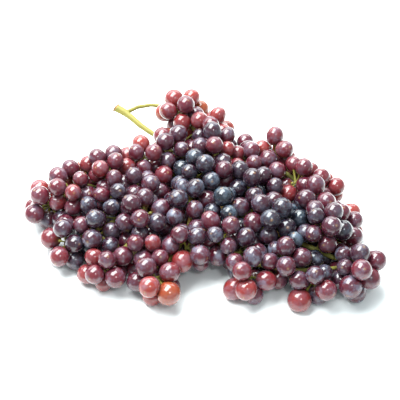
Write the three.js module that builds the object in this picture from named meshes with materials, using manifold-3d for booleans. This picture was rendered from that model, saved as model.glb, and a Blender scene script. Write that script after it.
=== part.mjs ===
// A bunch of small red table grapes, as cut, lying on a flat surface. Millimetres, +Z up.
//
// A bunch is a branching stalk that carries berries. The peduncle is the cut end that a hand would
// hold. It runs on as the rachis, and arms leave the rachis to either side: those pieces grew
// together and are one solid, "stalk". Short twigs stand off the arms all round, and each ends in a
// knot from which a handful of pedicels spread, with one berry on each. A twig with its knot,
// pedicels and berries is a sprig, the piece that snaps off a bunch, and each sprig is a solid of
// its own, a hair clear of the arm that bears it.
//
// The sprigs' places come from the arms. The berries' places come from growing them: they start
// small round their knots, swell, and push each other, the stalks and the surface away.

import * as THREE from "three";
import { mergeVertices } from "three/addons/utils/BufferGeometryUtils.js";
import Module from "manifold-3d";

const wasm = await Module();
wasm.setup();

// ---- Driving dimensions ----

// The arm points further down are written for a bunch of the first size and stretched to the second.
const DRAWN_AT = new THREE.Vector3(320, 240, 68);
const BUNCH_SIZE = new THREE.Vector3(320, 240, 68);

const BERRY_LENGTH = 16.4; // along its pedicel
const BERRY_WIDTH = 15.8;
const BERRY_SIZE = Math.max(BERRY_LENGTH, BERRY_WIDTH); // room that it needs, whichever way it lies
const BERRY_VARIATION = 0.1; // berries are this share larger or smaller

const PEDICEL_RADIUS = 1.2; // where it leaves the knot; it thins to a point in the middle of its berry
const PEDICEL_SHORTEST = 4;
const PEDICEL_LONGEST = 9;

const KNOT_RADIUS = 2.6;
const TWIG_RADIUS = 1.1;
const TWIG_LENGTH = 9;

const CLEARANCE = 0.4; // between pieces that are separate solids
const SURFACE_PRESS = 0.5; // how far the lowest berries are pressed flat by the bunch's weight

// ---- The stalk ----

// Each arm grows from its parent at the place nearest to its first point, runs on through the other
// points, and bears `sprigs` twigs spaced evenly between the two shares of its length in `bearing`.
const ARMS = [
  {
    name: "peduncle",
    radius: 2.5,
    points: [
      [-86, 132, 30],
      [-76, 124, 30],
      [-58, 104, 29],
      [-43, 91, 28],
    ],
    sprigs: 0,
  },
  {
    name: "rachis",
    parent: "peduncle",
    radius: 1.9,
    points: [
      [-43, 91, 28],
      [-33, 69, 27],
      [-17, 40, 26],
      [11, 4, 25],
      [46, -22, 24],
      [82, -40, 23],
      [116, -59, 21],
    ],
    sprigs: 12,
    bearing: [0.1, 1],
  },
  {
    name: "crown",
    parent: "peduncle",
    radius: 1.1,
    points: [
      [-76, 124, 30],
      [-64, 128, 34],
      [-49, 129, 36],
      [-29, 125, 34],
      [-15, 108, 31],
      [0, 88, 30],
      [13, 67, 29],
    ],
    sprigs: 6,
    bearing: [0.5, 1],
  },
  {
    name: "shoulder",
    parent: "rachis",
    radius: 1.3,
    points: [
      [-23, 51, 27],
      [5, 57, 25],
      [38, 58, 24],
      [69, 52, 24],
      [92, 31, 23],
      [105, -1, 23],
      [113, -34, 22],
    ],
    sprigs: 10,
    bearing: [0.12, 1],
  },
  {
    name: "wing",
    parent: "rachis",
    radius: 1.3,
    points: [
      [-43, 85, 28],
      [-63, 38, 25],
      [-93, 9, 23],
      [-123, 7, 20],
    ],
    sprigs: 7,
    bearing: [0.25, 1],
  },
  {
    name: "crest",
    parent: "wing",
    radius: 1.0,
    points: [
      [-63, 38, 25],
      [-79, 27, 26],
      [-94, 25, 25],
    ],
    sprigs: 2,
    bearing: [0.5, 1],
  },
  {
    name: "skirt",
    parent: "rachis",
    radius: 1.1,
    points: [
      [-28, 58, 27],
      [-52, 11, 24],
      [-81, -18, 22],
      [-110, -35, 20],
    ],
    sprigs: 5,
    bearing: [0.3, 1],
  },
  {
    name: "apron",
    parent: "skirt",
    radius: 1.0,
    points: [
      [-45, 12, 25],
      [-56, -31, 23],
      [-76, -56, 20],
    ],
    sprigs: 3,
    bearing: [0.3, 1],
  },
  {
    name: "tip",
    parent: "rachis",
    radius: 1.2,
    points: [
      [-14, 35, 26],
      [-9, -5, 24],
      [-17, -41, 22],
      [-34, -69, 19],
    ],
    sprigs: 6,
    bearing: [0.25, 1],
  },
  {
    name: "heart",
    parent: "rachis",
    radius: 1.0,
    points: [
      [5, 12, 26],
      [29, 18, 22],
      [56, 15, 20],
    ],
    sprigs: 2,
    bearing: [0.5, 1],
  },
  {
    name: "keel",
    parent: "rachis",
    radius: 1.1,
    points: [
      [5, 10, 25],
      [14, -39, 22],
      [41, -64, 21],
      [83, -72, 20],
      [116, -69, 19],
    ],
    sprigs: 6,
    bearing: [0.2, 1],
  },
];
const PLACES_ON_PARENT = 60; // that an arm can start from
const ARM_STEP = 14; // millimetres: an arm is made of straight stretches, none longer than this
const BERRIES_ON_SPRIG = [8, 7]; // its first sprig, its second and so on, over and over
// Degrees round the arm, from straight up, of its first sprig, its second and so on, over and over.
// None stands straight down: the surface has spread those to the sides.
const SPRIG_TURNS = [10, 100, -80, 45, -110, -35, 75];
const TURNS_TRIED = [0, 30, -30, 60, -60, 90, -90]; // on from that, until a twig finds room
const MOVES_TRIED = [0, 5, -5, 10, -10]; // millimetres along the arm, likewise

// ---- Repeatable chance ----

// The same run of numbers from 0 to 1 every time.
function chance(seed) {
  let state = seed;
  return () => {
    state = (state + 0x6d2b79f5) | 0;
    let t = Math.imul(state ^ (state >>> 15), 1 | state);
    t = (t + Math.imul(t ^ (t >>> 7), 61 | t)) ^ t;
    return ((t ^ (t >>> 14)) >>> 0) / 4294967296;
  };
}
const random = chance(7);
const between = (low, high) => low + (high - low) * random();

// ---- Arms, knots and berries as points ----

const stretch = BUNCH_SIZE.clone().divide(DRAWN_AT);
const armCurves = [];
for (const arm of ARMS) {
  const points = arm.points.map((p) => new THREE.Vector3(...p).multiply(stretch));
  if (arm.parent) {
    const bearer = armCurves[ARMS.findIndex((other) => other.name === arm.parent)];
    const places = bearer.getSpacedPoints(PLACES_ON_PARENT);
    places.sort((p, q) => p.distanceTo(points[0]) - q.distanceTo(points[0]));
    points[0] = places[0];
  }
  armCurves.push(new THREE.CatmullRomCurve3(points));
}

const stretchesOf = (curve) => Math.ceil(curve.getLength() / ARM_STEP);

// n directions spread evenly over a ball, turned by `spin` about Z.
function evenDirections(n, spin) {
  const golden = Math.PI * (3 - Math.sqrt(5));
  return Array.from({ length: n }, (_, i) => {
    const z = 1 - (1.6 * (i + 0.5)) / n;
    const across = Math.sqrt(1 - z * z);
    const angle = i * golden + spin;
    return new THREE.Vector3(across * Math.cos(angle), across * Math.sin(angle), z);
  });
}

// Is a twig clear, from root to knot, of every arm but its own?
function hasRoom(root, knot, arm) {
  const places = [root, root.clone().lerp(knot, 0.5), knot];
  return ARMS.every((other, i) => {
    if (other === arm) return true;
    const nearby = armCurves[i].getSpacedPoints(PLACES_ON_PARENT);
    const least = other.radius + KNOT_RADIUS + 2 * CLEARANCE;
    return nearby.every((p) => places.every((place) => p.distanceTo(place) > least));
  });
}

// Where the k-th twig of an arm leaves it, and which way it stands. The last one carries the arm on.
// The others stand round the arm as SPRIG_TURNS says, or moved along and turned on as little as
// finds room beside a fork.
function stationOf(arm, curve, k) {
  const last = k === arm.sprigs - 1;
  const [first, end] = arm.bearing;
  const share = last ? 1 : first + ((end - first) * (k + 0.5)) / (arm.sprigs - 0.5);
  const tries = MOVES_TRIED.flatMap((move) => TURNS_TRIED.map((more) => [move / curve.getLength(), more]));
  const stations = tries.map(([move, more]) => {
    const moved = last ? 1 : share + move;
    const at = curve.getPointAt(moved);
    const along = curve.getTangentAt(moved);
    const side = new THREE.Vector3(0, 0, 1).cross(along).normalize();
    const up = along.clone().cross(side);
    const turn = THREE.MathUtils.degToRad(SPRIG_TURNS[k % SPRIG_TURNS.length] + more);
    const out = up.multiplyScalar(Math.cos(turn)).addScaledVector(side, Math.sin(turn));
    const facing = last ? along : out.addScaledVector(along, 0.25).normalize();
    const root = at.addScaledVector(facing, arm.radius + CLEARANCE + TWIG_RADIUS / 2);
    return { root, facing, home: root.clone().addScaledVector(facing, TWIG_LENGTH) };
  });
  return stations.find(({ root, home }) => hasRoom(root, home, arm)) ?? stations[0];
}

function sprigsOf(arm, curve) {
  const stations = Array.from({ length: arm.sprigs }, (_, k) => stationOf(arm, curve, k));
  return stations.map(({ root, facing, home }, k) => {
    const knot = root.clone().lerp(home, between(0.8, 1.2));
    const turned = new THREE.Quaternion().setFromUnitVectors(new THREE.Vector3(0, 0, 1), facing);
    const berries = evenDirections(BERRIES_ON_SPRIG[k % BERRIES_ON_SPRIG.length], between(0, 2 * Math.PI))
      .map((d) => d.applyQuaternion(turned))
      .map((d) => {
        const radius = (BERRY_SIZE / 2) * between(1 - BERRY_VARIATION, 1 + BERRY_VARIATION);
        return { radius, place: knot.clone().addScaledVector(d, radius + PEDICEL_SHORTEST) };
      });
    return { name: `${arm.name}_sprig_${String(k + 1).padStart(2, "0")}`, root, knot, home, berries };
  });
}
const sprigs = ARMS.flatMap((arm, i) => (arm.sprigs ? sprigsOf(arm, armCurves[i]) : []));
const berries = sprigs.flatMap((sprig) => sprig.berries.map((b) => Object.assign(b, { sprig })));

// ---- Growing the berries ----

const GROWING_STEPS = 260;
const SMALL_AT_FIRST = 0.55; // share of its size that a berry starts with
const GRAVITY = 0.16; // how far a berry sinks in a step, while anything is free to
const HUG = 0.01; // share of the way to its twig's root that a berry is drawn in a step
const LAST_STEPS = 120; // at most, once everything has its full size, to free the stalks
const SQUEEZE_LEFT = 0.05; // millimetres by which a stalk may still be short of its clearance

const armSegments = ARMS.flatMap((arm, i) => {
  const p = armCurves[i].getSpacedPoints(stretchesOf(armCurves[i]));
  return p.slice(1).map((end, k) => ({ a: p[k], b: end, radius: arm.radius, fixed: true }));
});
const twigs = sprigs.map((s) => ({ a: s.root, b: s.knot, radius: TWIG_RADIUS, sprig: s, twig: true }));
const knots = sprigs.map((s) => ({ a: s.knot, b: s.knot, radius: KNOT_RADIUS, sprig: s, twig: true }));
const pedicels = berries.map((b) => ({
  a: b.sprig.knot,
  b: b.place,
  radius: PEDICEL_RADIUS,
  sprig: b.sprig,
  berry: b,
}));
const stalks = [...armSegments, ...twigs, ...knots, ...pedicels];

// Shares along two segments of their nearest points.
function nearest(s, t) {
  const u = s.b.clone().sub(s.a);
  const v = t.b.clone().sub(t.a);
  const w = s.a.clone().sub(t.a);
  const [a, b, c, d, e] = [u.dot(u), u.dot(v), v.dot(v), u.dot(w), v.dot(w)];
  const clamp = (x) => Math.min(1, Math.max(0, x));
  const skew = a * c - b * b;
  const crossing = skew > 1e-9 ? clamp((b * e - c * d) / skew) : 0;
  const y = c > 0 ? clamp((b * crossing + e) / c) : 0;
  const x = a > 0 ? clamp((b * y - d) / a) : 0;
  return [x, y];
}

// Moves a stalk's free ends so that its point at share x moves by `shift`.
function bend(stalk, x, shift) {
  if (stalk.fixed) return;
  if (stalk.twig) {
    stalk.b.addScaledVector(shift, x);
    return;
  }
  stalk.a.addScaledVector(shift, 1 - x);
  stalk.b.addScaledVector(shift, x);
}

let tightest = 0; // how short of its clearance a stalk was found, at the worst

function pushApart(p, q, least, give) {
  const d = p.clone().sub(q);
  const short = least - d.length();
  if (short <= 0) return null;
  return d.normalize().multiplyScalar(short * give);
}

// The share along a stalk of its place nearest to p, and that place.
function shareAlong(stalk, p) {
  const line = stalk.b.clone().sub(stalk.a);
  const share = p.clone().sub(stalk.a).dot(line) / Math.max(line.lengthSq(), 1e-9);
  return Math.min(1, Math.max(0, share));
}
const nearestOn = (stalk, p) => stalk.a.clone().lerp(stalk.b, shareAlong(stalk, p));

function berryOffStalk(berry, stalk, size) {
  if (stalk.berry === berry) return;
  const x = shareAlong(stalk, berry.place);
  const spot = stalk.a.clone().lerp(stalk.b, x);
  const shift = pushApart(berry.place, spot, size + stalk.radius + CLEARANCE, 0.5);
  if (!shift) return;
  tightest = Math.max(tightest, 2 * shift.length());
  berry.place.add(shift);
  bend(stalk, x, shift.negate());
}

function stalkOffStalk(s, t) {
  if (s.sprig === t.sprig || (s.fixed && t.fixed)) return;
  const [x, y] = nearest(s, t);
  const p = s.a.clone().lerp(s.b, x);
  const q = t.a.clone().lerp(t.b, y);
  const shift = pushApart(p, q, s.radius + t.radius + CLEARANCE, 0.5);
  if (!shift) return;
  tightest = Math.max(tightest, 2 * shift.length());
  bend(s, x, shift);
  bend(t, y, shift.negate());
}

// Pushes the stalks off each other and off the berries, and everything off the surface, once.
function freeStalks(grown) {
  tightest = 0;
  for (const b of berries) for (const s of stalks) berryOffStalk(b, s, b.radius * grown);
  for (let i = 0; i < stalks.length; i++)
    for (let j = i + 1; j < stalks.length; j++) stalkOffStalk(stalks[i], stalks[j]);
  for (const b of berries) b.place.z = Math.max(b.place.z, b.radius * grown - SURFACE_PRESS);
  for (const s of sprigs) s.knot.z = Math.max(s.knot.z, KNOT_RADIUS + CLEARANCE);
}

for (let step = 0; step < GROWING_STEPS; step++) {
  const grown = Math.min(1, SMALL_AT_FIRST + (1.2 * (1 - SMALL_AT_FIRST) * step) / GROWING_STEPS);
  const settling = Math.max(0, 1 - step / (0.8 * GROWING_STEPS));
  for (const s of sprigs) s.knot.lerp(s.home, 0.06 * settling);
  for (const b of berries) {
    b.place.lerp(b.sprig.root, HUG * settling);
    b.place.z -= GRAVITY * settling;
  }
  for (const b of berries) {
    const size = b.radius * grown;
    const away = b.place.clone().sub(b.sprig.knot);
    const wanted = Math.min(size + PEDICEL_LONGEST, Math.max(size + PEDICEL_SHORTEST, away.length()));
    const shift = away.clone().setLength(wanted).sub(away);
    b.place.addScaledVector(shift, 0.7);
    b.sprig.knot.addScaledVector(shift, -0.15);
  }
  for (let i = 0; i < berries.length; i++)
    for (let j = i + 1; j < berries.length; j++) {
      const [p, q] = [berries[i], berries[j]];
      const shift = pushApart(p.place, q.place, (p.radius + q.radius) * grown + CLEARANCE, 0.5);
      if (shift) {
        p.place.add(shift);
        q.place.sub(shift);
      }
    }
  freeStalks(grown);
}
for (let step = 0; step < LAST_STEPS && tightest > SQUEEZE_LEFT; step++) freeStalks(1);

// A berry that is still squeezed, between other berries or by a stalk, has stayed small.
for (const b of berries) {
  const gaps = berries
    .filter((other) => other !== b)
    .map((other) => (b.place.distanceTo(other.place) - CLEARANCE) / (b.radius + other.radius));
  const passing = stalks
    .filter((stalk) => stalk.sprig !== b.sprig)
    .map((stalk) => (b.place.distanceTo(nearestOn(stalk, b.place)) - stalk.radius - CLEARANCE) / b.radius);
  b.squeeze = Math.min(1, ...gaps, ...passing);
}
for (const b of berries) b.radius *= b.squeeze;

// ---- Solids ----

// A closed mesh as a solid that can be joined.
function solid(geometry) {
  const bare = geometry.clone();
  bare.deleteAttribute("normal");
  bare.deleteAttribute("uv");
  const merged = mergeVertices(bare, 1e-3);
  return new wasm.Manifold(
    new wasm.Mesh({
      numProp: 3,
      vertProperties: merged.attributes.position.array,
      triVerts: new Uint32Array(merged.index.array),
    }),
  );
}

function joined(solids) {
  return solids.reduce((all, next) => all.add(next));
}

// A straight three-sided stalk between two points. A radius of 0 makes its far end a point.
function stalkSolid(from, to, radius, endRadius) {
  const geometry = new THREE.CylinderGeometry(endRadius, radius, from.distanceTo(to), 3);
  const turn = new THREE.Quaternion().setFromUnitVectors(
    new THREE.Vector3(0, 1, 0),
    to.clone().sub(from).normalize(),
  );
  const middle = from.clone().add(to).multiplyScalar(0.5);
  return solid(geometry.applyQuaternion(turn).translate(...middle));
}

// An arm: a round section run along its curve, and drawn in towards the far end.
const ARM_SIDES = 5;
const ARM_TAPER = 0.6; // radius at the far end, over the radius at the near end

function armSolid(arm, curve) {
  const steps = stretchesOf(curve);
  const corners = Array.from({ length: ARM_SIDES }, (_, k) => {
    const angle = (2 * Math.PI * k) / ARM_SIDES;
    return new THREE.Vector2(Math.cos(angle), Math.sin(angle)).multiplyScalar(arm.radius);
  });
  const geometry = new THREE.ExtrudeGeometry(new THREE.Shape(corners), { steps, extrudePath: curve });
  const axis = curve.getSpacedPoints(steps);
  const position = geometry.attributes.position;
  const corner = new THREE.Vector3();
  for (let i = 0; i < position.count; i++) {
    corner.fromBufferAttribute(position, i);
    const distances = axis.map((p) => p.distanceTo(corner));
    const k = distances.indexOf(Math.min(...distances));
    const kept = 1 - ((1 - ARM_TAPER) * k) / steps;
    corner.sub(axis[k]).multiplyScalar(kept).add(axis[k]);
    position.setXYZ(i, ...corner);
  }
  return solid(geometry);
}

// A berry: an egg shape drawn with flat faces, corners on its skin, with a face towards its pedicel.
// One that rests on the surface has a face there instead, as large as the patch it is pressed flat on.
const LEAST_PRESS = 0.005; // one that is pressed less than this is left round

function berrySolid(berry, knot) {
  const length = (berry.radius * BERRY_LENGTH) / BERRY_SIZE;
  const width = (berry.radius * BERRY_WIDTH) / BERRY_SIZE;
  const geometry = new THREE.IcosahedronGeometry(1, 0);
  const corners = geometry.attributes.position;
  const corner = new THREE.Vector3();
  const face = new THREE.Vector3();
  for (let i = 0; i < 3; i++) face.add(corner.fromBufferAttribute(corners, i));
  const stem = knot.clone().sub(berry.place).normalize();
  const reach = Math.hypot(width * Math.hypot(stem.x, stem.y), length * stem.z); // straight down
  const resting = berry.place.z < reach - LEAST_PRESS;
  const target = resting ? new THREE.Vector3(0, 0, -1) : stem;
  geometry.applyQuaternion(new THREE.Quaternion().setFromUnitVectors(face.normalize(), target));
  const patch = Math.sqrt(Math.max(0, reach ** 2 - berry.place.z ** 2));
  for (let i = 0; i < corners.count; i++) {
    corner.fromBufferAttribute(corners, i);
    if (resting && corner.z < -0.7) {
      corner.setZ(0).setLength(patch).setZ(-berry.place.z);
    } else {
      const along = corner.dot(stem);
      corner.addScaledVector(stem, -along).multiplyScalar(width).addScaledVector(stem, along * length);
    }
    corners.setXYZ(i, ...corner.add(berry.place));
  }
  return solid(geometry);
}

function sprigSolid(sprig) {
  const knot = solid(new THREE.OctahedronGeometry(KNOT_RADIUS, 0).translate(...sprig.knot));
  const twig = stalkSolid(sprig.root, sprig.knot, TWIG_RADIUS, TWIG_RADIUS);
  const grown = sprig.berries.flatMap((berry) => {
    return [stalkSolid(sprig.knot, berry.place, PEDICEL_RADIUS, 0), berrySolid(berry, sprig.knot)];
  });
  return joined([knot, twig, ...grown]);
}

// ---- The bunch ----

const stalkMaterial = new THREE.MeshStandardMaterial({ color: "#c2bd62", roughness: 0.6, metalness: 0 });
const skinMaterial = new THREE.MeshStandardMaterial({ color: "#6b3f4d", roughness: 0.35, metalness: 0 });

function piece(name, body, material) {
  const { vertProperties, triVerts } = body.getMesh();
  const geometry = new THREE.BufferGeometry();
  geometry.setAttribute("position", new THREE.BufferAttribute(vertProperties, 3));
  geometry.setIndex(new THREE.BufferAttribute(triVerts, 1));
  geometry.computeVertexNormals();
  const mesh = new THREE.Mesh(geometry, material.clone());
  mesh.name = name;
  return mesh;
}

const bunch = new THREE.Group();
bunch.add(piece("stalk", joined(ARMS.map((arm, i) => armSolid(arm, armCurves[i]))), stalkMaterial));
for (const sprig of sprigs) bunch.add(piece(sprig.name, sprigSolid(sprig), skinMaterial));

// The origin is the middle of the underside's box.
const box = new THREE.Box3().setFromObject(bunch);
const middle = box.getCenter(new THREE.Vector3());
bunch.position.set(-middle.x, -middle.y, -box.min.z);

export default bunch;
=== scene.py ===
# %% [markdown]
# # A bunch of red table grapes
#
# The bunch was designed as a part: one branching stalk, and the sprigs that it bears, each a twig
# with a handful of berries. This lesson gives that part its looks. It starts from the packed
# solids, which say where every berry, twig and arm is, and never moves them: a berry here is a
# better berry in the same place.

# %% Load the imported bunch
import math

import bpy
import numpy as np
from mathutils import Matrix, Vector


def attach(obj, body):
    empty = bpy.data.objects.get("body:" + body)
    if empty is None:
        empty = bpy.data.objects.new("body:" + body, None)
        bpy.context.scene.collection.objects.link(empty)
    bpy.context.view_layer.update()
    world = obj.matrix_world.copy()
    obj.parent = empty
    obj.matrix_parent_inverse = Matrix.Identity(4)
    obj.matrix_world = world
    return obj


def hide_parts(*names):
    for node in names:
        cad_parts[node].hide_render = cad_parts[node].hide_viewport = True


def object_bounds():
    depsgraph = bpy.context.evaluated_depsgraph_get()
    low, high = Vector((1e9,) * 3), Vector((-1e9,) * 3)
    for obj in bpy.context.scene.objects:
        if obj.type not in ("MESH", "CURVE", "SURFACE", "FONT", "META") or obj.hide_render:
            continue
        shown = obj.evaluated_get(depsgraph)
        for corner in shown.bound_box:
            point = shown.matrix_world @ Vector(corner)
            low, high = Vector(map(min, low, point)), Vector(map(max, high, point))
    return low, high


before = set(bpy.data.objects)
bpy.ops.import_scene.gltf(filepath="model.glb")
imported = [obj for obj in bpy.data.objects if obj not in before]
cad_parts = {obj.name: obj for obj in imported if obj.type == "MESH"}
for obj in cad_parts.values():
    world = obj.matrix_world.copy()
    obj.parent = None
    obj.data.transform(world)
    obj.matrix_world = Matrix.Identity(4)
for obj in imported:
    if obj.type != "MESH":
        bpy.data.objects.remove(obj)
cad_box = [[float(x) for x in corner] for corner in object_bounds()]
sprig_names = sorted(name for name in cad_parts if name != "stalk")
MM = 0.001
chance = np.random.default_rng(11)
print("The packed bunch:", len(sprig_names), "sprigs, box", np.round(cad_box, 4).tolist())

# %% [markdown]
# ## Where the berries are
#
# A packed sprig is one closed solid: many-sided berries joined to their twig by thin pedicels. We
# could keep a table of berry places, but it would go stale when the bunch is redesigned, so we read
# them from the solid. Where a pedicel runs into a berry the surface folds inwards. We take away
# every face that touches such a fold, and the solid falls apart into islands. An island with nine
# corners or more is a berry, and a ball fitted to its corners gives its middle and its size.


# %% Take a solid apart at its folds
SAME_PLACE = 6  # decimals of a metre: corners that agree so far are one corner
FLAT = 1e-6  # metres in front of a plane: less than this is no fold


def welded(mesh):
    """The mesh's corners with the doubled ones merged, and its triangles as rows of three."""
    mesh.calc_loop_triangles()
    places = np.empty(len(mesh.vertices) * 3)
    mesh.vertices.foreach_get("co", places)
    corners = np.empty(len(mesh.loop_triangles) * 3, int)
    mesh.loop_triangles.foreach_get("vertices", corners)
    rounded = np.round(places.reshape(-1, 3), SAME_PLACE)
    points, same = np.unique(rounded, axis=0, return_inverse=True)
    triangles = same.ravel()[corners].reshape(-1, 3)
    whole = (triangles != np.roll(triangles, 1, axis=1)).all(axis=1)
    return points, triangles[whole]


def folded_corners(points, triangles):
    """True for each corner on an edge whose two faces lean towards each other. Across an edge, the
    far corner of one face then lies in front of the other face's plane."""
    a, b, c = (points[triangles[:, k]] for k in range(3))
    facing = np.cross(b - a, c - a)
    facing /= np.maximum(np.linalg.norm(facing, axis=1, keepdims=True), 1e-15)
    edges = np.concatenate([triangles[:, [0, 1]], triangles[:, [1, 2]], triangles[:, [2, 0]]])
    opposite = np.concatenate([triangles[:, 2], triangles[:, 0], triangles[:, 1]])
    owner = np.tile(np.arange(len(triangles)), 3)
    order = np.lexsort(np.sort(edges, axis=1).T)
    one, other = order[0::2], order[1::2]
    reach = points[opposite[other]] - points[edges[one, 0]]
    in_front = np.einsum("ij,ij->i", facing[owner[one]], reach)
    folded = np.zeros(len(points), bool)
    folded[edges[one][in_front > FLAT].ravel()] = True
    return folded


def islands(count, triangles):
    """A number for each corner, the same for corners that faces connect. Each corner takes the
    lowest number among its faces' corners, over and over, until nothing changes."""
    label = np.arange(count)
    while True:
        lowest = label[triangles].min(axis=1)
        spread = label.copy()
        np.minimum.at(spread, triangles.ravel(), np.repeat(lowest, 3))
        if (spread == label).all():
            return label
        label = spread


# %% Fit a ball to each island, and find each sprig's knot and root
FEWEST_CORNERS = 9  # that a berry's island keeps
JUST_OUTSIDE = 1.02  # berry radii from its middle: what is nearer is on the berry
ROOT_CORNERS = 3  # of a twig's end, whose mean is its root


def fitted_ball(points):
    """Centre and radius of the ball nearest to the points: |p|^2 = 2 p.c + (r^2 - |c|^2), solved
    for c and the constant by least squares."""
    rows = np.c_[2 * points, np.ones(len(points))]
    solved = np.linalg.lstsq(rows, (points**2).sum(axis=1), rcond=None)[0]
    return solved[:3], math.sqrt(solved[3] + solved[:3] @ solved[:3])


def meeting_point(starts, directions):
    """The point nearest to all the lines: each line says nothing along itself, so its share of the
    equations is the identity less its direction's own outer product."""
    across = np.eye(3) - directions[:, :, None] * directions[:, None, :]
    return np.linalg.solve(across.sum(axis=0), np.einsum("nij,nj->i", across, starts))


def read_sprig(name):
    """Berry centres and radii, the knot that the pedicels leave from, and the twig's root."""
    points, triangles = welded(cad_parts[name].data)
    folded = folded_corners(points, triangles)
    kept = triangles[~folded[triangles].any(axis=1)]
    label = islands(len(points), kept)
    used = np.unique(kept)
    numbers, sizes = np.unique(label[used], return_counts=True)
    balls = [fitted_ball(points[used[label[used] == n]]) for n in numbers[sizes >= FEWEST_CORNERS]]
    centres = np.array([centre for centre, _ in balls])
    radii = np.array([radius for _, radius in balls])
    depth = np.linalg.norm(points[:, None] - centres, axis=2) / radii
    folds = [points[folded & (depth[:, k] < JUST_OUTSIDE)] for k in range(len(radii))]
    towards = np.array([fold.mean(axis=0) for fold in folds]) - centres
    towards /= np.linalg.norm(towards, axis=1, keepdims=True)
    knot = meeting_point(centres, towards)
    stalk_corners = points[(depth > JUST_OUTSIDE).all(axis=1)]
    from_knot = np.linalg.norm(stalk_corners - knot, axis=1)
    root = stalk_corners[np.argsort(from_knot)[-ROOT_CORNERS:]].mean(axis=0)
    return centres, radii, knot, root


sprigs = {name: read_sprig(name) for name in sprig_names}
centres = np.concatenate([s[0] for s in sprigs.values()])
radii = np.concatenate([s[1] for s in sprigs.values()])
counts = [len(s[1]) for s in sprigs.values()]
owner = np.repeat(np.arange(len(sprigs)), counts)
knots = np.array([s[2] for s in sprigs.values()])
roots = np.array([s[3] for s in sprigs.values()])


def least_and_most(lengths):
    """The shortest and the longest of some lengths, in millimetres, to print."""
    return f"{lengths.min() / MM:.1f} to {lengths.max() / MM:.1f} mm"


print(len(radii), "berries,", sorted(set(counts)), "on a sprig")
print("berries as packed:", least_and_most(2 * radii), "across")
print("twigs:", least_and_most(np.linalg.norm(knots - roots, axis=1)))

# %% [markdown]
# ## A net for a ball and a net for a tube
#
# Nearly everything here is one of two shapes: a ball, for a berry or a knot, and a tube, for a
# twig or a pedicel. Each could be an operator call and a join, hundreds of times over. It is much
# quicker to work out all the balls of a sprig at once, as one array, so we need only the net:
# which corner joins which. A ball's net is rings of corners between two poles, and so is a tube's
# with its ends closed, so one function makes both.


# %% One net, any number of copies, and a mesh from them
def net(rings, around, copies):
    """Faces of closed shapes, each `rings` rings of `around` corners between a first and a last
    pole. Ring i, place k is corner 1 + i * around + k. Quads join neighbouring rings, and
    triangles join the end rings to the poles. Every copy's corners follow the one before."""
    ring, place = np.meshgrid(np.arange(rings - 1), np.arange(around), indexing="ij")
    here = 1 + ring * around + place
    beside = 1 + ring * around + (place + 1) % around
    quads = np.stack([here, beside, beside + around, here + around], axis=-1).reshape(-1, 4)
    k = np.arange(around)
    last = 1 + rings * around
    start = last - around
    first_cap = np.stack([np.zeros(around, int), 1 + (k + 1) % around, 1 + k], axis=-1)
    last_cap = np.stack([np.full(around, last), start + k, start + (k + 1) % around], axis=-1)
    triangles = np.concatenate([first_cap, last_cap])
    step = (np.arange(copies) * (last + 1))[:, None, None]
    return (quads + step).reshape(-1, 4), (triangles + step).reshape(-1, 3)


def show(thing):
    """Puts an object in the scene."""
    bpy.context.scene.collection.objects.link(thing)
    return thing


def add_values(mesh, values):
    """Numbers at the corners, by name, for the materials to read."""
    for key, numbers in values.items():
        layer = mesh.attributes.new(key, "FLOAT", "POINT")
        layer.data.foreach_set("value", numbers.astype(np.float32))


def new_piece(name, parts, material):
    """A mesh object, its place in its mesh. Each part is a dictionary of points, quads, triangles
    and values at the points."""
    loops, sizes, shift = [], [], 0
    for part in parts:
        for faces in (part["quads"], part["triangles"]):
            loops.append((faces + shift).ravel())
            sizes.append(np.full(len(faces), faces.shape[1]))
        shift += len(part["points"])
    loops, sizes = (np.concatenate(x).astype(np.int32) for x in (loops, sizes))
    loop_starts = np.cumsum(sizes) - sizes
    points = np.concatenate([part["points"] for part in parts])
    mesh = bpy.data.meshes.new(name)
    mesh.vertices.add(len(points))
    mesh.vertices.foreach_set("co", points.astype(np.float32).ravel())
    mesh.loops.add(len(loops))
    mesh.loops.foreach_set("vertex_index", loops)
    mesh.polygons.add(len(sizes))
    mesh.polygons.foreach_set("loop_start", loop_starts.astype(np.int32))
    keys = parts[0]["values"]
    add_values(mesh, {key: np.concatenate([part["values"][key] for part in parts]) for key in keys})
    mesh.update(calc_edges=True)
    mesh.validate()
    mesh.shade_smooth()
    mesh.materials.append(material)
    return show(bpy.data.objects.new(name, mesh))


# %% [markdown]
# ## How ripe each berry is, and how much bloom it has kept
#
# A bunch colours unevenly. Berries inside it are dark, nearly blue-black, and those at the fringes
# stay red or even amber. To find the fringes we look at each berry's neighbours: in the middle of
# the bunch they lie all round, and at a fringe they all lie to one side, so their mean offset is
# long. Single berries also stray from their surroundings, so we add chance, some of it shared by a
# whole sprig. The grey waxy bloom is rubbed off where hands and neighbours have touched the berry.

# %% Ripeness and bloom, one number for each berry
NEIGHBOURHOOD = 32 * MM
INSIDE, OUTERMOST = 0.12, 0.52  # the mean offset of neighbours, in neighbourhoods
RIPENESS_INSIDE = 0.32  # from 0, blue-black, to 1, amber
REDDER_AT_FRINGE = 0.32
STRAY_SPRIG, STRAY_BERRY = 0.09, 0.10  # standard deviations of ripeness
# For each arm: redder than the rest of the bunch by this, and this much bloom left
ARM_LOOKS = {
    "rachis": (-0.09, 0.45), "crown": (0.21, 0.30), "shoulder": (0.09, 0.45), "wing": (0.16, 0.50),
    "crest": (0.24, 0.60), "skirt": (0.00, 0.50), "apron": (0.00, 0.45), "tip": (0.08, 0.80),
    "heart": (-0.08, 0.35), "keel": (0.03, 0.80),
}


def smooth_step(x, low, high):
    """0 below low, 1 above high, and 3t^2 - 2t^3 between them."""
    t = np.clip((x - low) / (high - low), 0, 1)
    return t * t * (3 - 2 * t)


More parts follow.
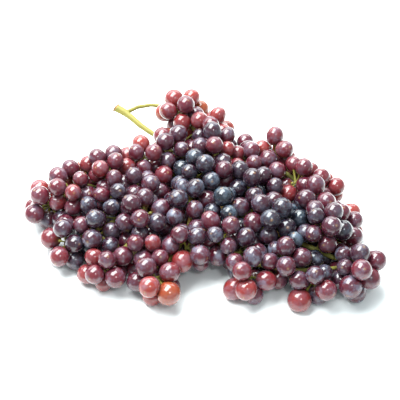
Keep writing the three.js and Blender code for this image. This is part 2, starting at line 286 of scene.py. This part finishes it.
def bell(distance, width):
    """1 at no distance, about a third at the width, and next to nothing at twice the width."""
    return np.exp(-((distance / width) ** 2))


offsets = centres[None] - centres[:, None]
apart = np.linalg.norm(offsets, axis=2)
near = (apart < NEIGHBOURHOOD) & (apart > 0)
to_neighbours = (offsets * near[..., None]).sum(axis=1) / near.sum(axis=1, keepdims=True)
lean = np.linalg.norm(to_neighbours[:, :2], axis=1)
fringe = smooth_step(lean / NEIGHBOURHOOD, INSIDE, OUTERMOST)
arm_of = np.array([sprig_names[k].rsplit("_sprig_", 1)[0] for k in owner])
redder = np.array([ARM_LOOKS[arm][0] for arm in arm_of])
blooming = np.array([ARM_LOOKS[arm][1] for arm in arm_of])
by_sprig = chance.normal(0, STRAY_SPRIG, len(sprigs))[owner]
by_berry = chance.normal(0, STRAY_BERRY, len(radii))
mostly = RIPENESS_INSIDE + REDDER_AT_FRINGE * fringe
ripeness = np.clip(mostly + redder + by_sprig + by_berry, 0.02, 0.98)
# Dark berries keep more bloom than red ones, and any berry may keep half of it or half as much
# again
kept_bloom = chance.uniform(0.5, 1.6, len(radii)) * (1.25 - 0.9 * ripeness)
bloom = np.clip(blooming * kept_bloom, 0.05, 1)
print(f"ripeness {ripeness.min():.2f} to {ripeness.max():.2f}, {ripeness.mean():.2f} on average")

# %% [markdown]
# ## The berries' skins
#
# A berry is an egg, a little longer along its pedicel than across, and no two are alike. Its pole
# is at the pedicel, which sits in a slight dimple, and at the other pole is the scar that the
# flower's style left. A coarse net and one level of subdivision give a smooth skin for few faces.
# Subdivision draws a curved surface inwards by a known amount, which we give back beforehand.
#
# Where two berries meet neither gives way: the skins press each other flat. Halfway between them
# is a plane, and whatever would pass it is moved back to it. The table does the same.

# %% Shape every berry at once
AROUND = 12
RINGS = 7
LONGER = 1.08  # along the pedicel, over the fitted ball
WIDER = 1.035  # across it
PRESSED = 0.25 * MM  # how much larger it would be if nothing pressed it
FRINGE_GROWTH = 0.17  # the most that a berry at the fringe gains, of its size
DIMPLE = 0.5 * MM
DIMPLE_REACH = 0.35  # radians from the pedicel
LUMP_WAVES = 4  # on each berry
LUMPINESS = 0.010  # of the radius, for each wave
STRAY_ASPECT = 0.025
ABOVE_TABLE = 0.02 * MM

turn = 2 * np.pi * np.arange(AROUND) / AROUND
dip = np.pi * (np.arange(RINGS) + 1) / (RINGS + 1)
# Along a ring, subdivision mixes six eighths of a corner with an eighth of each neighbour
kept_around = (6 + 2 * np.cos(2 * np.pi / AROUND)) / 8
kept_along = (6 + 2 * np.cos(np.pi / (RINGS + 1))) / 8


def unit_balls():
    """Corners of a unit ball about +Z, from the scar at -Z to the pedicel at +Z. On a ring at the
    angle a from the scar, x = sin a cos t, y = sin a sin t and z = -cos a."""
    a, t = np.meshgrid(dip, turn, indexing="ij")
    rings = np.stack([np.sin(a) * np.cos(t), np.sin(a) * np.sin(t), -np.cos(a)], axis=-1)
    return np.concatenate([[[0, 0, -1]], rings.reshape(-1, 3), [[0, 0, 1]]])


def upright(axes):
    """For each unit axis, three unit vectors at right angles, the last of them the axis."""
    helper = np.where(np.abs(axes[:, 2:]) < 0.9, [[0, 0, 1.0]], [[1.0, 0, 0]])
    side = np.cross(helper, axes)
    side /= np.linalg.norm(side, axis=1, keepdims=True)
    return np.stack([side, np.cross(axes, side), axes], axis=1)


ball = unit_balls()
stems = knots[owner] - centres
stems /= np.linalg.norm(stems, axis=1, keepdims=True)
frames = upright(stems)
from_tip = np.concatenate([[0], np.repeat(dip, AROUND), [np.pi]])

# Berries at the fringe have room and light, and some of them grow larger than the rest. A sine of
# the berry's number gives each its share, from 0 to 1, in no order that shows
share = (1 + np.sin(2.4 * np.arange(len(radii)))) / 2
girths = radii * (1 + FRINGE_GROWTH * fringe * share)

# Slow lumps: the radius swells and sinks by a few plane waves over the ball, each berry's its own
waves = chance.normal(0, 1.6, (len(radii), LUMP_WAVES, 3))
phases = chance.uniform(0, 2 * np.pi, (len(radii), LUMP_WAVES, 1))
lumps = 1 + LUMPINESS * np.sin(waves @ ball.T + phases).sum(axis=1)
aspect = chance.normal(1, STRAY_ASPECT, len(radii))
half_width = girths * WIDER / np.sqrt(aspect) + PRESSED
half_length = girths * LONGER * aspect + PRESSED
across = half_width / (kept_around * kept_along)
along = half_length / kept_along
shapes = ball[None] * lumps[..., None] * np.stack([across, across, along], axis=1)[:, None]
shapes[..., 2] -= DIMPLE * bell(np.pi - from_tip, DIMPLE_REACH)
skins = centres[:, None] + np.einsum("nvk,nkj->nvj", shapes, frames)

# %% Press them flat against each other and the table
widest = girths * LONGER + 2 * PRESSED
pairs = np.argwhere((apart < widest[:, None] + widest) & (apart > 0))
first, second = pairs.T
gap = apart[first, second]
towards = (centres[second] - centres[first]) / gap[:, None]
halfway = (gap + girths[first] - girths[second]) / 2
out = np.einsum("pvj,pj->pv", skins[first] - centres[first][:, None], towards)
beyond = np.maximum(out - halfway[:, None], 0)
np.subtract.at(skins, first, beyond[..., None] * towards[:, None])
skins[..., 2] = np.maximum(skins[..., 2], ABOVE_TABLE)
pressing = (beyond > 0).any(axis=1).sum() // 2
print("berries as drawn:", least_and_most(2 * half_width), "across, but for where they are pressed")
print(len(pairs) // 2, "pairs of berries are near enough to touch, and", pressing, "press")

# %% [markdown]
# ## Arithmetic for materials
#
# A material's masks and colours are small sums, and a sum drawn as boxes and noodles is hard to
# read. We wrap a node's output in a small class, so that `1 - mask * 0.5` adds the Math nodes
# itself. Every other node, of whatever type, comes from one method.


# %% A wire is one output; a finish is one material
class Wire:
    """An output in a material, on which arithmetic is written as on a number."""

    def __init__(self, finish, socket):
        self.finish = finish
        self.socket = socket

    def combined(self, operation, a, b):
        return self.finish.node("ShaderNodeMath", {"operation": operation}, {0: a, 1: b})

    def __add__(self, other):
        return self.combined("ADD", self, other)

    def __sub__(self, other):
        return self.combined("SUBTRACT", self, other)

    def __rsub__(self, other):
        return self.combined("SUBTRACT", other, self)

    def __mul__(self, other):
        return self.combined("MULTIPLY", self, other)


class Finish:
    """A material built node by node, with its Principled shader ready."""

    def __init__(self, name):
        self.material = bpy.data.materials.new(name)
        self.material.use_nodes = True
        self.tree = self.material.node_tree
        self.shader = self.tree.nodes["Principled BSDF"]

    def node(self, kind, settings, sockets, output=0):
        """A node of that type. Settings are its own properties, and the stops of a colour ramp."""
        node = self.tree.nodes.new(kind)
        for key, value in settings.items():
            if key == "stops":
                self.set_stops(node.color_ramp, value)
            else:
                setattr(node, key, value)
        for key, value in sockets.items():
            self.plug(node.inputs[key], value)
        return Wire(self, node.outputs[output])

    def set_stops(self, ramp, stops):
        while len(ramp.elements) < len(stops):
            ramp.elements.new(1)
        for element, (position, colour) in zip(ramp.elements, stops):
            element.position = position
            element.color = (*colour, 1)

    def plug(self, socket, value):
        if isinstance(value, Wire):
            self.tree.links.new(value.socket, socket)
        else:
            socket.default_value = value

    def paint(self, **sockets):
        """Feeds the Principled shader: Base_Color stands for Base Color, and so on."""
        for key, value in sockets.items():
            self.plug(self.shader.inputs[key.replace("_", " ")], value)

    def value(self, attribute):
        """A number that the mesh keeps at its corners."""
        return self.node("ShaderNodeAttribute", {"attribute_name": attribute}, {}, "Fac")

    def noise(self, scale, detail=2.0, roughness=0.5):
        """Cloudy patches from 0 to 1, about as many to a metre as the scale says."""
        place = self.node("ShaderNodeTexCoord", {}, {}, "Object")
        sockets = {"Vector": place, "Scale": scale, "Detail": detail, "Roughness": roughness}
        return self.node("ShaderNodeTexNoise", {}, sockets, "Fac")

    def step(self, value, low, high):
        """0 below low, 1 above high, smooth between."""
        sockets = {"Value": value, "From Min": low, "From Max": high}
        return self.node("ShaderNodeMapRange", {"interpolation_type": "SMOOTHSTEP"}, sockets)

    def mix(self, share, colour, other):
        """The first colour where the share is 0, the other where it is 1."""
        mixed = {0: share, 6: colour, 7: other}
        return self.node("ShaderNodeMix", {"data_type": "RGBA"}, mixed, 2)

    def bump(self, height, distance, strength):
        """Normals as if the surface rose by the distance, in metres, where the height is 1."""
        sockets = {"Height": height, "Distance": distance, "Strength": strength}
        return self.node("ShaderNodeBump", {}, sockets)


def linear(code):
    """The light that a screen colour such as 7a3b44 stands for, red, green and blue from 0 to 1."""
    screen = np.array([int(code[k : k + 2], 16) for k in (0, 2, 4)]) / 255
    light = np.where(screen <= 0.04045, screen / 12.92, ((screen + 0.055) / 1.055) ** 2.4)
    return tuple(float(x) for x in light)


# %% [markdown]
# ## Grape skin
#
# The skin is a thin clear film over wet flesh, so light goes in and comes out again a few
# millimetres on: that is subsurface scattering, and it keeps a berry from looking like a painted
# bead. The colour sits in the skin. It runs from blue-black through wine and dusky red to amber,
# in soft mottles, and is thinner round the pedicel, where the flesh shows through. Over it lies
# the bloom, a wax as fine as dust: pale, greyish blue, matt, and rubbed away in patches. A berry
# ends in a pinpoint scar, a tan dot with a faint pale ring.

# %% The skin's material
BLUE_BLACK = linear("141c25")
WINE = linear("321523")
DUSKY_RED = linear("5b1c2a")
ROSE = linear("882c27")
AMBER = linear("8c4320")
FLESH = linear("94623a")
BLOOM = linear("7f8ea3")
SCAR = linear("94774f")
MOTTLE = 0.22  # of the way from blue-black to amber
BLOOM_PATCHES = (0.42, 0.68)  # bare skin below this noise, whole bloom above
BLOOM_COVER = 0.46  # of the colour under it
# In radians from the tip, where each of these begins to change and where it is done
PEDICEL_EDGE = (2.3, math.pi)
SCAR_EDGE = (0.04, 0.08)
RING_INNER_EDGE = (0.07, 0.10)
RING_OUTER_EDGE = (0.11, 0.17)
BARE_ROUGHNESS = 0.16
BLOOM_ROUGHNESS = 0.25  # added to the bare skin's, as is the scar's
SCAR_ROUGHNESS = 0.3


def skin_finish():
    skin = Finish("grape_skin")
    mottle = skin.noise(170, detail=3) - 0.5
    ripe = skin.value("ripeness") + mottle * MOTTLE
    stops = [(0.0, BLUE_BLACK), (0.22, WINE), (0.52, DUSKY_RED), (0.78, ROSE), (1.0, AMBER)]
    colour = skin.node("ShaderNodeValToRGB", {"stops": stops}, {"Fac": ripe})
    from_tip = skin.value("from_tip")
    near_pedicel = skin.step(from_tip, *PEDICEL_EDGE) * 0.35
    colour = skin.mix(near_pedicel, colour, FLESH + (1,))
    patches = skin.step(skin.noise(120, detail=4, roughness=0.65), *BLOOM_PATCHES)
    dust = skin.noise(900, detail=2) * 0.5 + 0.75
    waxy = patches * skin.value("bloom") * dust
    colour = skin.mix(waxy * BLOOM_COVER, colour, BLOOM + (1,))
    scar = 1 - skin.step(from_tip, *SCAR_EDGE)
    ring = skin.step(from_tip, *RING_INNER_EDGE) * (1 - skin.step(from_tip, *RING_OUTER_EDGE))
    colour = skin.mix(ring * 0.35, colour, FLESH + (1,))
    colour = skin.mix(scar * 0.7, colour, SCAR + (1,))
    bump = skin.bump(scar + skin.noise(420, detail=2) * 0.12, 0.0003, 0.6)
    roughness = waxy * BLOOM_ROUGHNESS + scar * SCAR_ROUGHNESS + BARE_ROUGHNESS
    skin.paint(Base_Color=colour, Roughness=roughness, Normal=bump)
    skin.paint(IOR=1.45, Subsurface_Weight=0.18, Subsurface_Scale=0.003)
    skin.paint(Subsurface_Radius=(1.0, 0.30, 0.22), Coat_Roughness=0.05, Coat_IOR=1.4)
    skin.paint(Coat_Weight=1 - waxy * 0.6)
    return skin.material


skin_material = skin_finish()

# %% [markdown]
# ## Green wood
#
# The stalk, its twigs and the pedicels are one living tissue, yellow-green and matt, with fine
# ridges, and brown specks where it breathed. It is older at a twig's root, and freshest in a
# pedicel's swollen end, the seat of its berry. Deep in the bunch, under the berries, its colour is
# darkened towards brown as painted shade. The cut itself is brown with paler pith.

# %% The stalk's material
FRESH = linear("857b34")
OLD_GREEN = linear("7c7a38")
RUSSET = linear("9a6a3c")
BROWN = linear("5b4127")
PITH = linear("b8a06a")
UNEVENNESS = 0.45  # of the way from fresh to brown
SPECK_EDGE = (0.64, 0.72)  # none below this noise, whole specks above


def stalk_finish():
    stalk = Finish("green_stalk")
    # The age value holds the real ageing and also painted shade under the berries, and both brown the
    # colour
    age = stalk.value("age") + (stalk.noise(120, detail=3) - 0.5) * UNEVENNESS
    stops = [(0.0, FRESH), (0.45, OLD_GREEN), (0.75, RUSSET), (1.0, BROWN)]
    colour = stalk.node("ShaderNodeValToRGB", {"stops": stops}, {"Fac": age})
    specks = stalk.step(stalk.noise(1100, detail=1), *SPECK_EDGE)
    colour = stalk.mix(specks * 0.5, colour, RUSSET + (1,))
    ridges = stalk.noise(700, detail=3, roughness=0.6)
    colour = stalk.mix(stalk.value("cut"), colour, stalk.mix(ridges, BROWN + (1,), PITH + (1,)))
    stalk.paint(Base_Color=colour, Roughness=0.55, Normal=stalk.bump(ridges, 0.0003, 0.5))
    stalk.paint(IOR=1.4, Subsurface_Weight=0.12, Subsurface_Scale=0.0015)
    stalk.paint(Subsurface_Radius=(0.8, 1.0, 0.3))
    return stalk.material


stalk_material = stalk_finish()
print("materials:", skin_material.name, "and", stalk_material.name)

# %% [markdown]
# ## Twigs, knots and pedicels
#
# From its root on the arm a twig runs to a small knot, and the pedicels spread from the knot, one
# to each berry. A pedicel is a thin round stalk. It leaves the knot with a flare, thins, and
# swells to a club at its berry, where it is widest. All of them are tubes: a straight line, bowed
# sideways by half a sine wave, carries rings whose radius follows a profile.

# %% Tubes along bowed lines
AROUND_TUBE = 8
TWIG_STRETCHES = 8
PEDICEL_STRETCHES = 10


def tubes(starts, ends, bows, radius_at, stretches):
    """Closed tubes, all at once, and each corner's share t of its tube's length. The middle line
    at t is start + t (end - start) + bow sin(pi t). A ring there has the radius radius_at(t),
    about the line from start to end."""
    t = np.linspace(0, 1, stretches + 1)
    run = ends - starts
    lines = starts[:, None] + t[:, None] * run[:, None]
    lines += np.sin(np.pi * t)[:, None] * bows[:, None]
    sides = upright(run / np.linalg.norm(run, axis=1, keepdims=True))[:, :2]
    angle = 2 * np.pi * np.arange(AROUND_TUBE) / AROUND_TUBE
    circle = np.stack([np.cos(angle), np.sin(angle)], axis=-1)
    rims = np.einsum("ak,nkj->naj", circle, sides)
    rings = lines[:, :, None] + radius_at(t)[:, None, None] * rims[:, None]
    rings = rings.reshape(len(starts), -1, 3)
    points = np.concatenate([lines[:, :1], rings, lines[:, -1:]], axis=1)
    along = np.concatenate([[0], np.repeat(t, AROUND_TUBE), [1]])
    return points, along


def twig_radius(t):
    """A collar where it leaves the arm, slimmer in the middle, wider again at the knot."""
    return (0.80 + bell(t, 0.16) + 0.55 * smooth_step(t, 0.7, 1)) * MM


def pedicel_radius(t):
    """A flare at the knot, a thin middle, and a club that ends in the berry's dimple."""
    flare = 0.45 * bell(t, 0.14)
    club = 0.85 * smooth_step(t, 0.45, 0.86) - 0.7 * smooth_step(t, 0.93, 1.0)
    return (0.50 + flare + club) * MM


def sideways(lines, least, most):
    """For each line, a bow at right angles to it, some share of its length long."""
    spin = chance.normal(size=lines.shape)
    lengths = np.linalg.norm(lines, axis=1, keepdims=True)
    unit = lines / lengths
    spin -= (spin * unit).sum(axis=1, keepdims=True) * unit
    spin /= np.linalg.norm(spin, axis=1, keepdims=True)
    return spin * lengths * chance.uniform(least, most, (len(lines), 1))


# %% Make them, and find how shaded each place is under the berries, for painted shade
TWIG_SUNK = 1.8 * MM  # how far a twig's collar starts inside its arm
PEDICEL_SUNK = 0.4 * MM  # how far a pedicel's end sits under the dimple of its berry
KNOT_RADIUS = 1.7 * MM
KNOT_LUMPS = 0.12  # of its radius
SHADE_REACH = 26 * MM  # berries further off cast no shade
SHADE_RISE = 2 * MM  # nor do those that are no higher than this

to_knot = knots - roots
to_knot /= np.linalg.norm(to_knot, axis=1, keepdims=True)
twig_starts = roots - TWIG_SUNK * to_knot
bows = sideways(knots - twig_starts, 0.02, 0.06)
twig_points, twig_along = tubes(twig_starts, knots, bows, twig_radius, TWIG_STRETCHES)

forks = knots[owner]
seats = centres + stems * (girths * LONGER * aspect - DIMPLE - PEDICEL_SUNK)[:, None]
bows = sideways(seats - forks, 0.02, 0.07)
pedicel_points, pedicel_along = tubes(forks, seats, bows, pedicel_radius, PEDICEL_STRETCHES)

knot_waves = chance.normal(0, 2.5, (len(knots), 1, 3))
knot_lumps = 1 + KNOT_LUMPS * np.sin(knot_waves @ ball.T).squeeze(1)
knot_points = knots[:, None] + KNOT_RADIUS * knot_lumps[..., None] * ball[None]


# The green parts' colour is darkened by this much under the berries: painted shade
def shade_at(points):
    """How shaded a point is, from 0 in the open to 1 under nine berries or more: it goes by how
    many berries are near and higher than the point."""
    gap = centres[None] - points[:, None]
    over = (np.linalg.norm(gap, axis=2) < SHADE_REACH) & (gap[..., 2] > SHADE_RISE)
    return smooth_step(over.sum(axis=1), 1.5, 9)


print("pedicels:", least_and_most(np.linalg.norm(seats - forks, axis=1)))

# %% [markdown]
# ## The stalk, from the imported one
#
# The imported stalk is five-sided arms, joined. Its middle lines and forks are right and its faces
# are not. So we take a copy, cover it with a fine even net of voxels, and smooth that: sides and
# forks turn round together, as they have grown. Smoothing draws thin arms in, which a swelling
# along the normals more than gives back. Then come fine ridges. The limb that a hand holds is
# thicker than the arms, most of all towards its end and at the first fork. It ends in a clean
# slanting cut with a low collar round it, and it has dried there.

# %% Round the stalk and cut its end
VOXEL = 0.42 * MM
SMOOTHINGS = 4
SWELLING = 0.95 * MM
RIDGE_HEIGHT = 0.09 * MM
PACKED_SIDES = 5
LIMB_LENGTH = 12 * MM  # near the cut end, where the limb is straight
FORK_AT = 12 * MM  # where the first arm leaves, from the cut end
END_LENGTH = 9 * MM  # what the cut reshapes
COLLAR_WIDTH = 1.6 * MM  # how far it reaches along the limb
LENGTHENED = 2.2 * MM  # drawn out by this, so that the cut has something to take off
SLANT = 0.35  # how far the cut leans along the limb, for each metre up
CUT_DEPTH = 0.15 * MM  # a corner that lies no deeper is on the cut's face
DRIED_LENGTH = 3 * MM


def rounded_copy(source):
    """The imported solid's corners welded, remeshed on a grid of voxels, smoothed and swollen."""
    points, triangles = welded(source.data)
    mesh = bpy.data.meshes.new("stalk_rounded")
    mesh.from_pydata(points.tolist(), [], triangles.tolist())
    copy = show(bpy.data.objects.new("stalk_rounded", mesh))
    remesh = copy.modifiers.new("voxels", "REMESH")
    remesh.mode = "VOXEL"
    remesh.voxel_size = VOXEL
    smooth = copy.modifiers.new("smooth", "SMOOTH")
    smooth.iterations = SMOOTHINGS
    swell = copy.modifiers.new("swell", "DISPLACE")
    swell.mid_level = 0
    swell.strength = SWELLING
    graph = bpy.context.evaluated_depsgraph_get()
    result = bpy.data.meshes.new_from_object(copy.evaluated_get(graph))
    bpy.data.objects.remove(copy)
    return result


def corner_array(mesh, key):
    """The place ("co") or the normal of every corner, a row each."""
    values = np.empty(len(mesh.vertices) * 3)
    mesh.vertices.foreach_get(key, values)
    return values.reshape(-1, 3)


def ridged(points, normals):
    """Points moved along their normals by 0.22 mm at most: by a product of sine waves whose crests
    wander, so that they break up along an arm, and by the wandering itself."""
    x, y, z = (points / MM).T
    wander = np.sin(0.31 * x + 1.1 * np.sin(0.23 * y))
    wander += np.sin(0.27 * y - 0.9 * np.sin(0.19 * x + z))
    ridges = np.sin(2.6 * x + 2.1 * y + 1.8 * wander) * np.sin(3.1 * z + 1.3 * wander)
    return points + RIDGE_HEIGHT * (ridges + 0.7 * wander)[:, None] * normals


packed_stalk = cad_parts["stalk"]
rounded = rounded_copy(packed_stalk)
skinward = corner_array(rounded, "normal")
wood = ridged(corner_array(rounded, "co"), skinward)

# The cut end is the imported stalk's far end beyond the last root, and the limb runs inwards from it
packed_wood = welded(packed_stalk.data)[0]
reach = np.linalg.norm((packed_wood - centres.mean(axis=0))[:, :2], axis=1)
reach *= packed_wood[:, 1] > roots[:, 1].max()
far_end = packed_wood[np.argsort(reach)[-PACKED_SIDES:]].mean(axis=0)
from_end = np.linalg.norm(wood - far_end, axis=1)
limb = wood[from_end < LIMB_LENGTH].mean(axis=0) - far_end
limb /= np.linalg.norm(limb)

# Thicker near the cut and at the fork
from_fork = np.linalg.norm(wood - far_end - FORK_AT * limb, axis=1)
thicker = 0.18 + 0.75 * bell(from_end, 12 * MM) + 0.45 * bell(from_fork, 4 * MM)
wood += thicker[:, None] * MM * skinward

# The end: widened into a collar, drawn out along the limb, and cut off by a slanting plane
at_end = np.linalg.norm(wood - far_end, axis=1) < END_LENGTH
depth = (wood - far_end) @ limb
slant = SLANT * (wood - far_end)[:, 2]
on_limb = far_end + depth[:, None] * limb
collar = 1 + 0.18 * bell(depth, COLLAR_WIDTH)
ended = on_limb + (wood - on_limb) * collar[:, None]
ended -= LENGTHENED * np.exp(-np.maximum(depth, 0) / (2 * MM))[:, None] * limb
depth_now = (ended - far_end) @ limb - slant
ended += np.maximum(-depth_now, 0)[:, None] * limb
cut = ((depth_now < CUT_DEPTH) & at_end).astype(float)
wood = np.where(at_end[:, None], ended, wood)
print("the stalk:", len(wood), "corners, cut off at", np.round(far_end / MM, 1).tolist(), "mm")

# %% Put the stalk on show
rounded.name = "stalk_wood"
rounded.vertices.foreach_set("co", wood.astype(np.float32).ravel())
dried = at_end * np.exp(-np.maximum(depth_now, 0) / DRIED_LENGTH)
# Painted shade: the wood is browned where berries hang over it, on top of its real age and the dried
# end
age_and_painted_shade_of_wood = np.clip(shade_at(wood) * 0.6 + 0.05 + dried, 0, 1)
add_values(rounded, {"age": age_and_painted_shade_of_wood, "cut": cut})
rounded.materials.clear()
rounded.materials.append(stalk_material)
rounded.shade_smooth()
stalk_piece = show(bpy.data.objects.new("stalk_wood", rounded))
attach(stalk_piece, "root")
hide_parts("stalk")

# %% [markdown]
# ## Pieces on show
#
# The berries of a sprig are one piece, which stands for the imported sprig. The green parts go arm by
# arm, because they are small and share the stalk's finish.

# %% Berries, sprig by sprig
def subdivided(piece, level):
    """Rounds a piece's net, splitting every face into four at each level."""
    modifier = piece.modifiers.new("subdivision", "SUBSURF")
    modifier.levels = level
    modifier.render_levels = level


for number, name in enumerate(sprig_names):
    mine = owner == number
    count = int(mine.sum())
    quads, triangles = net(RINGS, AROUND, count)
    each = len(ball)
    values = {
        "ripeness": np.repeat(ripeness[mine], each),
        "bloom": np.repeat(bloom[mine], each),
        "from_tip": np.tile(from_tip, count),
    }
    part = {"points": skins[mine].reshape(-1, 3), "quads": quads, "triangles": triangles}
    part["values"] = values
    piece = new_piece(name + "_berries", [part], skin_material)
    subdivided(piece, 1)
    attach(piece, "root")
    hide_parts(name)
print("made", len(sprig_names), "sprigs; a berry's net has", AROUND * (RINGS + 1), "faces")

# %% Twigs, knots and pedicels, arm by arm
arms = sorted(set(arm_of))
arm_of_sprig = np.array([name.rsplit("_sprig_", 1)[0] for name in sprig_names])


def green_part(points, rings, around, along, age):
    """One kind of green part, all its copies: their net, and at every corner their cut, which is
    none, and their age with painted shade. The age goes by the share of the way along the part,
    and the painted shade darkens it under the berries."""
    quads, triangles = net(rings, around, len(points))
    flat = points.reshape(-1, 3)
    # Painted shade: the colour is darkened where berries hang over the part
    ages_and_painted_shade = np.clip(age(np.tile(along, len(points))) + 0.15 * shade_at(flat), 0, 1)
    values = {"age": ages_and_painted_shade, "cut": np.zeros(len(flat))}
    return {"points": flat, "quads": quads, "triangles": triangles, "values": values}


def age_of_twig(t):
    return 0.20 - 0.12 * t


def age_of_knot(t):
    return np.full_like(t, 0.15)


def age_of_pedicel(t):
    return 0.15 - 0.15 * t**3


for arm in arms:
    twigs = twig_points[arm_of_sprig == arm]
    bulges = knot_points[arm_of_sprig == arm]
    pedicels = pedicel_points[arm_of == arm]
    parts = [
        green_part(twigs, TWIG_STRETCHES + 1, AROUND_TUBE, twig_along, age_of_twig),
        green_part(bulges, RINGS, AROUND, from_tip, age_of_knot),
        green_part(pedicels, PEDICEL_STRETCHES + 1, AROUND_TUBE, pedicel_along, age_of_pedicel),
    ]
    piece = new_piece(arm + "_twigs", parts, stalk_material)
    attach(piece, "root")
print("made the green parts of", len(arms), "arms:", ", ".join(arms))

# %% [markdown]
# ## The table, the light and the camera
#
# The bunch lies on a plain white table. The main lamp is large and hangs overhead, a little behind
# and to the left. A long low light behind the bunch rims its far side, and a small lamp on the
# camera's side adds a sharp highlight to every berry. A pale surround fills the shadows. The camera
# looks down at 46 degrees.

# %% Stage
HALF_TABLE = 4.0
LAMP_COLOUR = (0.93, 1.0, 1.0)
SURROUND_COLOUR = (0.82, 0.97, 1.0, 1)
SURROUND_STRENGTH = 0.68

signs = ((-1, -1), (1, -1), (1, 1), (-1, 1))
floor_mesh = bpy.data.meshes.new("table")
floor_mesh.from_pydata([(x * HALF_TABLE, y * HALF_TABLE, 0) for x, y in signs], [], [(0, 1, 2, 3)])
table = show(bpy.data.objects.new("table", floor_mesh))
table_finish = Finish("white_table")
table_finish.paint(Base_Color=(0.9, 0.9, 0.9, 1), Roughness=0.7, Specular_IOR_Level=0.2)
floor_mesh.materials.append(table_finish.material)

low, high = (np.array(corner) for corner in cad_box)
middle = (low + high) / 2


def aim(thing, place, target):
    """Puts a lamp or a camera at a place, facing a target."""
    thing.location = Vector(place)
    thing.rotation_euler = (Vector(target) - Vector(place)).to_track_quat("-Z", "Y").to_euler()


def soft_light(name, place, width, depth, power, shape="RECTANGLE"):
    """A flat lamp of that size in metres and power in watts, facing the middle of the bunch."""
    data = bpy.data.lights.new(name, "AREA")
    data.shape = shape
    data.size = width
    data.size_y = depth
    data.energy = power
    data.color = LAMP_COLOUR
    aim(show(bpy.data.objects.new(name, data)), place, middle)


soft_light("wide_soft_light", (-0.15, 0.75, 0.50), 1.9, 0.50, 12)
soft_light("main_lamp", (-0.24, 0.20, 0.95), 1.10, 0.62, 33)
soft_light("small_lamp", (0.22, -0.62, 0.95), 0.15, 0.15, 2.0, "DISK")

world = bpy.data.worlds.new("pale_surround")
world.use_nodes = True
background = world.node_tree.nodes["Background"]
background.inputs["Color"].default_value = SURROUND_COLOUR
background.inputs["Strength"].default_value = SURROUND_STRENGTH
bpy.context.scene.world = world
bpy.context.scene.view_settings.view_transform = "Standard"

# %% Camera
ELEVATION = math.radians(46)
DISTANCE = 0.87
LENS = 86  # millimetres
SENSOR = 36  # millimetres
AIM_SHIFT = (0.0012, -0.0165, 0.0)  # metres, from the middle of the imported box
aim_point = middle + np.array(AIM_SHIFT)
view = bpy.data.cameras.new("camera")
view.lens = LENS
view.sensor_width = SENSOR
camera = show(bpy.data.objects.new("camera", view))
back = np.array([0, -math.cos(ELEVATION), math.sin(ELEVATION)])
aim(camera, aim_point + DISTANCE * back, aim_point)
bpy.context.scene.camera = camera
